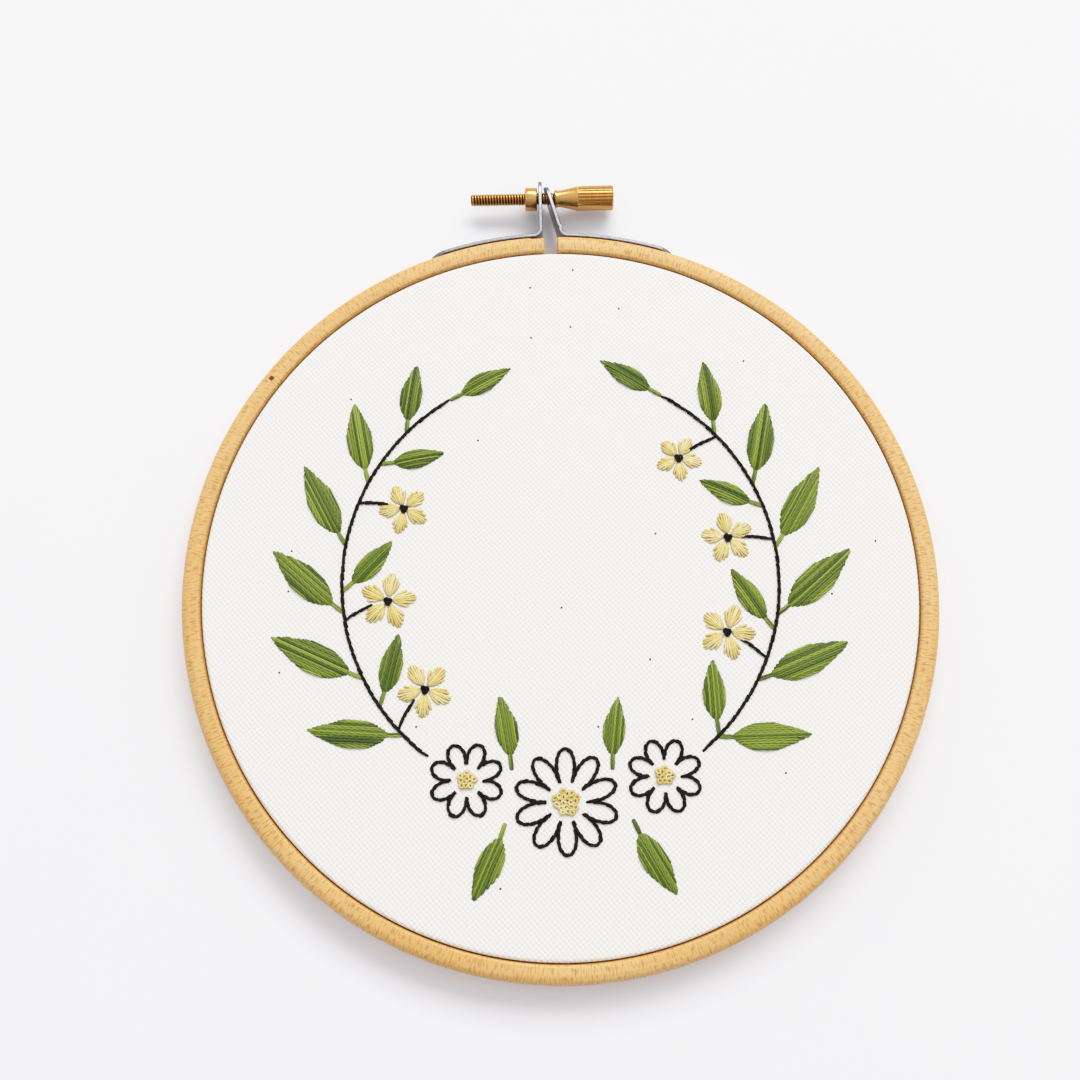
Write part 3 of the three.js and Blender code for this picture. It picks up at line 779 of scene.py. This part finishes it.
def strands(lines, width):
    """Tubes along many lines at once, given as stitch, step and X, Y, Z.

    Each section is an ellipse, level across the line, that narrows at both ends, where the
    strand goes through the cloth.
    """
    lines = np.asarray(lines, float)
    count, steps = lines.shape[:2]
    run = np.gradient(lines, axis=1)
    run /= np.linalg.norm(run, axis=2, keepdims=True)
    left = np.stack([-run[..., 1], run[..., 0], np.zeros((count, steps))], axis=-1)
    left /= np.linalg.norm(left, axis=2, keepdims=True)
    up = np.cross(run, left)
    share = np.linspace(0, 1, steps)
    full = (0.55 + 0.45 * np.sin(np.pi * share) ** 0.4)[None, :, None, None]
    turn = np.linspace(0, 2 * np.pi, STRAND_SIDES, endpoint=False)[None, None, :, None]
    aside = left[:, :, None] * np.cos(turn) * width / 2
    above = up[:, :, None] * np.sin(turn) * STRAND_HEIGHT / 2
    points = (lines[:, :, None] + (aside + above) * full).reshape(-1, 3)
    size = steps * STRAND_SIDES
    offsets = (np.arange(count) * size)[:, None, None]
    quads = (grid_quads(steps, STRAND_SIDES, loop_columns=True)[None] + offsets).reshape(-1, 4)
    ring = np.arange(STRAND_SIDES)
    ends = np.stack([ring, ring[::-1] + size - STRAND_SIDES])[None] + offsets
    gone = np.linalg.norm(np.diff(lines, axis=1), axis=2)
    length = np.concatenate([np.zeros((count, 1)), np.cumsum(gone, axis=1)], axis=1)
    around = np.abs(ring / STRAND_SIDES * 2 - 1)
    uv = np.stack(np.broadcast_arrays(length[:, :, None], around[None, None, :]), axis=-1)
    shade = np.repeat(chance.random(count), size)
    return points, [quads[:, ::-1], ends.reshape(-1, STRAND_SIDES)[:, ::-1]], uv, shade


def stitch_steps(steps):
    """Shares of a stitch's length, (1 - cos(pi s)) / 2, and its rise at each, sin(pi share) ** 0.35."""
    share = (1 - np.cos(np.linspace(0, np.pi, steps))) / 2
    return share, np.sin(np.pi * share) ** 0.35


def stitches(starts, ends, lift):
    """Straight stitches from starts to ends, as lines for strands().

    A stitch rises steeply out of the cloth, its middle comes to lie lift more than half its own
    height above the cloth, and it goes back in.
    """
    starts = np.asarray(starts, float)
    ends = np.asarray(ends, float)
    share, rise = stitch_steps(11)
    level = starts[:, None] + (ends - starts)[:, None] * share[None, :, None]
    crest = STRAND_HEIGHT / 2 + np.broadcast_to(lift, len(starts))[:, None]
    z = CLOTH_TOP - SINK + (SINK + crest) * rise
    return np.concatenate([level, z[..., None]], axis=-1)


def along_line(line, distance):
    """Points at these distances along a line, with the unit direction to its left."""
    gone = np.concatenate([[0], np.cumsum(np.linalg.norm(np.diff(line, axis=0), axis=1))])
    point = np.stack([np.interp(distance, gone, line[:, k]) for k in (0, 1)], axis=-1)
    ahead = np.stack([np.interp(distance + 0.3, gone, line[:, k]) for k in (0, 1)], axis=-1)
    behind = np.stack([np.interp(distance - 0.3, gone, line[:, k]) for k in (0, 1)], axis=-1)
    run = ahead - behind
    run /= np.linalg.norm(run, axis=-1, keepdims=True)
    return point, np.stack([-run[..., 1], run[..., 0]], axis=-1)


def stem_stitch(line, pitch):
    """Stitches along a line, each STEM_REACH pitches long, that cross from its right to its left."""
    total = np.linalg.norm(np.diff(line, axis=0), axis=1).sum()
    count = max(2, int(round(total / pitch)) - 1)
    begin = np.linspace(0, total - pitch * STEM_REACH, count)[:, None]
    share, rise = stitch_steps(9)
    point, left = along_line(line, begin + share * pitch * STEM_REACH)
    aside = STEM_SLANT * (2 * share - 1) + chance.normal(0, 0.04, (count, 1))
    level = point + left * aside[..., None]
    z = CLOTH_TOP - SINK + (SINK + STRAND_HEIGHT / 2 + STEM_LIFT) * rise
    return np.concatenate([level, np.broadcast_to(z[:, None], (count, len(z), 1))], axis=-1)


def sewn(name, lines, material, slot, *nodes, width=STRAND_WIDTH):
    """Makes the strands of one sewn shape a piece that rides on the hoop and stands for its solids.

    The same strands lie behind the cloth, half sunk in its underside.
    """
    behind = lines.copy()
    behind[..., 2] = CLOTH_TOP - CLOTH_THICKNESS + np.clip(CLOTH_TOP - lines[..., 2], 0, SINK)
    points, polygons, uv, shade = strands(np.concatenate([lines, behind]), width)
    piece = add_piece(name, points, polygons, material, uv=uv, shade=shade, sharp=80)
    if nodes:
        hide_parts(*nodes)
    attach(piece, "root")
    return piece


dark_floss = floss("black_brown_floss", "#040201", "#120d06", "#2a2314", 0.7, 0.0, 0.2)
for name, branch in (("stem_right", 1), ("stem_left", -1)):
    stem_line = stem_frame(branch, np.linspace(STEM_FROM, STEM_TO, 90))[0]
    parts = [stem_stitch(stem_line, STEM_PITCH)]
    for row in [b for b in BLOSSOMS if b["branch"] == branch]:
        bare = row["radius"] * 0.45 / TWIG_LENGTH
        kept = twig_line(branch, row["at"])[: int(TWIG_STEPS * (1 - bare))]
        parts.append(stem_stitch(kept, TWIG_PITCH))
    sewn(f"sewn_{name}", np.concatenate(parts), dark_floss, "dark_floss", name)


# Daisies: the outline of every petal in stem stitch, over a knotted middle. The petals are left
# as bare cloth.
DAISIES = [
    {"branch": 1, "at": 0, "radius": 11.0, "petals": 10, "centre": 3.2},
    {"branch": 1, "at": 26, "radius": 8.0, "petals": 8, "centre": 2.4},
    {"branch": -1, "at": 26, "radius": 8.0, "petals": 8, "centre": 2.4},
]
DAISY_PITCH = 1.4
KNOT_TURNS = 1.6
KNOT_HEIGHT = 0.35
KNOT_STEPS = 26
KNOT_STRAND = 0.5
GOLDEN_TURN = 2.39996  # the angle between neighbours on a sunflower's spiral, in radians


def daisy_line(branch, at, radius, petals, centre):
    """One line out and back round every petal: the radius swings from near the middle to the tips."""
    middle = stem_frame(branch, at)[0]
    angle = np.linspace(0, 2 * np.pi, petals * 24 + 1)
    swell = np.abs(np.sin(angle * petals / 2)) ** 0.55
    reach = centre + 0.8 + (radius - 1.3 - centre) * swell
    return middle + reach[:, None] * np.stack([np.cos(angle), np.sin(angle)], axis=1)


def knot_lines(middles, radius):
    """French knots: floss wound round the needle, as short helices that tighten at the top."""
    turn = np.linspace(0, 2 * np.pi * KNOT_TURNS, KNOT_STEPS)
    begin = chance.uniform(0, 2 * np.pi, (len(middles), 1))
    share = np.linspace(0, 1, KNOT_STEPS)
    wide = radius * np.interp(share, [0, 0.1, 0.75, 1], [0.9, 1, 0.9, 0.1])
    x = middles[:, :1] + wide * np.cos(turn + begin)
    y = middles[:, 1:] + wide * np.sin(turn + begin)
    rise = np.interp(share, [0, 0.12, 0.8, 1], [-0.25, 0.2, 0.2 + KNOT_HEIGHT, 0.1])
    z = np.broadcast_to(CLOTH_TOP + rise, x.shape)
    return np.stack([x, y, z], axis=-1)


yellow_floss = floss("yellow_floss", "#a88b3a", "#e2cb6e", "#f8e9b0", 0.5)
for number, row in enumerate(DAISIES, 1):
    petal_lines = stem_stitch(daisy_line(**row), DAISY_PITCH)
    sewn(f"sewn_daisy_{number:02}", petal_lines, dark_floss, "dark_floss", f"daisy_{number:02}")
    middle = stem_frame(row["branch"], row["at"])[0]
    count = int(2.1 * row["centre"] ** 2)
    spiral = np.arange(count) + 0.5
    angle = spiral * GOLDEN_TURN
    reach = (row["centre"] - 0.75) * np.sqrt(spiral / count)
    middles = middle + reach[:, None] * np.stack([np.cos(angle), np.sin(angle)], axis=1)
    middles += chance.normal(0, 0.06, middles.shape)
    sewn(
        f"sewn_daisy_centre_{number:02}",
        knot_lines(middles, 0.5),
        yellow_floss,
        "yellow_floss",
        f"daisy_centre_{number:02}",
        width=KNOT_STRAND,
    )


# Leaves: long straight stitches of green floss laid side by side from end to end, over a little
# padding, so that each leaf is a low ridge with a ragged edge. A short stalk ties it to the stem.
LEAF_SLIMNESS = 0.345
LEAF_STALK = 2.3
LEAF_BOW = 0.09
LEAF_UNDERLAYER = 0.16
STALK_HALF = 0.16
LEAVES = [
    {"branch": 1, "at": 43, "out": 1, "length": 16.5, "lean": 46},
    {"branch": 1, "at": 61, "out": 1, "length": 18, "lean": 43},
    {"branch": 1, "at": 79, "out": 1, "length": 18.5, "lean": 42},
    {"branch": 1, "at": 97, "out": 1, "length": 17.5, "lean": 41},
    {"branch": 1, "at": 115, "out": 1, "length": 16, "lean": 40},
    {"branch": 1, "at": 132, "out": 1, "length": 14, "lean": 39},
    {"branch": 1, "at": 43.5, "out": -1, "length": 13, "lean": 52},
    {"branch": 1, "at": 75, "out": -1, "length": 13, "lean": 51},
    {"branch": 1, "at": 108.5, "out": -1, "length": 12, "lean": 50},
    {"branch": 1, "at": 150, "out": 1, "length": 12.5, "lean": 3},
    {"branch": -1, "at": 46, "out": 1, "length": 17, "lean": 45},
    {"branch": -1, "at": 64, "out": 1, "length": 18.5, "lean": 42},
    {"branch": -1, "at": 82, "out": 1, "length": 17.5, "lean": 43},
    {"branch": -1, "at": 100, "out": 1, "length": 17, "lean": 40},
    {"branch": -1, "at": 118, "out": 1, "length": 15.5, "lean": 41},
    {"branch": -1, "at": 135, "out": 1, "length": 13, "lean": 39},
    {"branch": -1, "at": 55.5, "out": -1, "length": 13, "lean": 52},
    {"branch": -1, "at": 87.5, "out": -1, "length": 12.5, "lean": 50},
    {"branch": -1, "at": 124, "out": -1, "length": 11.5, "lean": 50},
    {"branch": -1, "at": 150, "out": -1, "length": 12, "lean": 2},
    {"branch": 1, "at": 15, "out": 1, "length": 15, "lean": 80, "offset": 5.5},
    {"branch": 1, "at": 13.5, "out": -1, "length": 12.5, "lean": 74, "offset": 5},
    {"branch": -1, "at": 14, "out": 1, "length": 14.5, "lean": 84, "offset": 5.5},
    {"branch": -1, "at": 15.5, "out": -1, "length": 13, "lean": 70, "offset": 5},
]


def leaf_frame(branch, at, out, length, lean, offset=0.0):
    """The foot of a leaf, the way it points, and the way its tip bends."""
    point, along, outwards = stem_frame(branch, at)
    heading = along * math.cos(math.radians(lean)) + outwards * out * math.sin(math.radians(lean))
    return point + outwards * out * offset, heading, along


def leaf_lines(row):
    """Satin stitches in a leaf of half-width W sin(pi t ** 0.86).

    The stitch at share v across the leaf runs from the outline near the foot to the outline
    near the tip, and is shorter at both ends the further out it lies. The middle ones are padded
    up, and a second set lies lower, between the first.
    """
    foot, heading, along = leaf_frame(**row)
    length = row["length"]
    half = length * LEAF_SLIMNESS / 2
    upper = int(round(2 * half / (STRAND_WIDTH * 0.8)))
    over = np.linspace(-0.93, 0.93, upper)
    under = (over[:-1] + over[1:]) / 2
    below = np.repeat([0, LEAF_UNDERLAYER], [upper, upper - 1])
    count = len(below)
    share = np.concatenate([over, under]) + chance.normal(0, 0.02, count)
    begin = 0.02 + 0.27 * np.abs(share) ** 1.4 + chance.uniform(0, 0.02, count)
    finish = 0.99 - 0.43 * np.abs(share) ** 1.25 - chance.uniform(0, 0.03, count)
    sideways = np.array([-heading[1], heading[0]])

    def place(t, v):
        width = half * np.sin(np.pi * np.clip(t, 0, 1) ** 0.86)
        across = np.sign(v) * np.minimum(np.abs(v) * half, width)
        forward = foot + heading * LEAF_STALK + np.outer(t * length, heading)
        return forward + np.outer(across, sideways) + np.outer(LEAF_BOW * length * t**2, along)

    lift = 0.16 + 0.26 * (1 - share**2) - below + chance.normal(0, 0.02, count)
    return stitches(place(begin, share), place(finish, share), lift)


green_floss = floss("green_floss", "#122004", "#45600c", "#a0b23e", 0.42, 0.15)
for number, row in enumerate(LEAVES, 1):
    foot, heading, _ = leaf_frame(**row)
    blades = leaf_lines(row)
    across = STALK_HALF * np.array([-heading[1], heading[0]])
    stalk_end = foot + heading * (LEAF_STALK + 1.2)
    starts = [foot + across, foot - across]
    ends = [stalk_end + across, stalk_end - across]
    lines = np.concatenate([blades, stitches(starts, ends, 0.05)])
    sewn(f"sewn_leaf_{number:02}", lines, green_floss, "green_floss", f"leaf_{number:02}")


# Blossoms: five petals of yellow satin stitch about a dark knot.
BLOSSOM_PETALS = 5
PETAL_STITCHES = 7
PETAL_WIDTH = 0.33
BLOSSOM_KNOTS = [[0.35, 0.1], [-0.3, 0.25], [0, -0.4]]


def blossom_lines(branch, at, radius):
    """Stitches that fan out in each petal from near the middle to the petal's round end."""
    centre = twig_line(branch, at)[-1]
    lines = []
    for petal in range(BLOSSOM_PETALS):
        angle = 2 * np.pi * petal / BLOSSOM_PETALS + math.radians(at)
        ray = np.array([math.cos(angle), math.sin(angle)])
        side = np.array([-ray[1], ray[0]])
        share = np.linspace(-1, 1, PETAL_STITCHES) + chance.normal(0, 0.03, PETAL_STITCHES)
        wide = radius * PETAL_WIDTH
        near_end = radius * (0.16 + 0.12 * share**2)
        far_end = radius * (0.98 - 0.3 * share**2) + chance.normal(0, 0.08, PETAL_STITCHES)
        start = centre + np.outer(near_end, ray) + np.outer(share * wide * 0.35, side)
        end = centre + np.outer(far_end, ray) + np.outer(share * wide * 0.86, side)
        lines.append(stitches(start, end, 0.06 + 0.16 * (1 - share**2)))
    return np.concatenate(lines), centre


for number, row in enumerate(BLOSSOMS, 1):
    petals, centre = blossom_lines(**row)
    sewn(f"sewn_blossom_{number:02}", petals, yellow_floss, "yellow_floss", f"blossom_{number:02}")
    knots = knot_lines(centre + np.array(BLOSSOM_KNOTS), 0.42)
    sewn(f"sewn_blossom_knot_{number:02}", knots, dark_floss, "dark_floss", width=KNOT_STRAND)


# Table: a smooth white top, lit by a broad window light from the head of the picture.
def white_table():
    """Painted white board: matt and even, with the faintest mottling."""
    made, tree = empty_material("white_table")
    place = node(tree, "ShaderNodeTexCoord").outputs["Object"]
    tone = colour_mix(tree, noise(tree, place, 14.0, 3.0), "#f1f1f3", "#f6f6f7")
    return finished(made, {"Base Color": tone, "Roughness": 0.6})


span = np.linspace(-1500, 1500, 9)
table_x, table_y = np.meshgrid(span, span, indexing="ij")
table = add_piece(
    "table",
    np.stack([table_x, table_y, np.full_like(table_x, -0.05)], axis=-1),
    [grid_quads(9, 9)],
    white_table(),
)


def add_light(name, place, aim, size, power, colour):
    """A rectangular area light at a place in mm, turned to face the aim."""
    lamp = bpy.data.lights.new(name, "AREA")
    lamp.shape = "RECTANGLE"
    lamp.size, lamp.size_y = [MM * s for s in size]
    lamp.energy = power
    lamp.color = linear(colour)[:3]
    holder = bpy.data.objects.new(name, lamp)
    away = np.array(place, float) - np.array(aim, float)
    flat = math.hypot(away[0], away[1])
    holder.location = [MM * c for c in place]
    holder.rotation_euler = (math.atan2(flat, away[2]), 0, math.atan2(away[0], -away[1]))
    bpy.context.scene.collection.objects.link(holder)


def room_light():
    """A white room: light from above and from the window's side, dimmest behind the camera."""
    made = bpy.data.worlds.new("room_light")
    made.use_nodes = True
    tree = made.node_tree
    tree.nodes.clear()
    towards = node(tree, "ShaderNodeTexCoord").outputs["Generated"]
    parts = node(tree, "ShaderNodeSeparateXYZ", {0: towards}).outputs
    overhead = maths(tree, "MULTIPLY_ADD", parts["Z"], 0.48, 0.36)
    bright = maths(tree, "MULTIPLY_ADD", parts["Y"], 0.28, overhead)
    light = node(tree, "ShaderNodeBackground", {"Color": linear("#f6f6fc"), "Strength": bright})
    node(tree, "ShaderNodeOutputWorld", {"Surface": light.outputs[0]})
    return made


add_light("window", (560, 1640, 1900), (0, 0, 0), (2600, 1000), 31.0, "#fffdfa")
bpy.context.scene.world = room_light()


def bright_print(view):
    """A print developed light: middle tones are lifted, and white stops just short of paper white."""
    view.view_transform = "Standard"
    view.use_curve_mapping = True
    tone = view.curve_mapping.curves[3]
    tone.points[1].location = (1.0, 0.95)
    for scene_light, shown in ((0.05, 0.055), (0.25, 0.33), (0.5, 0.645), (0.75, 0.88), (0.88, 0.935)):
        tone.points.new(scene_light, shown)
    view.curve_mapping.update()


bright_print(bpy.context.scene.view_settings)
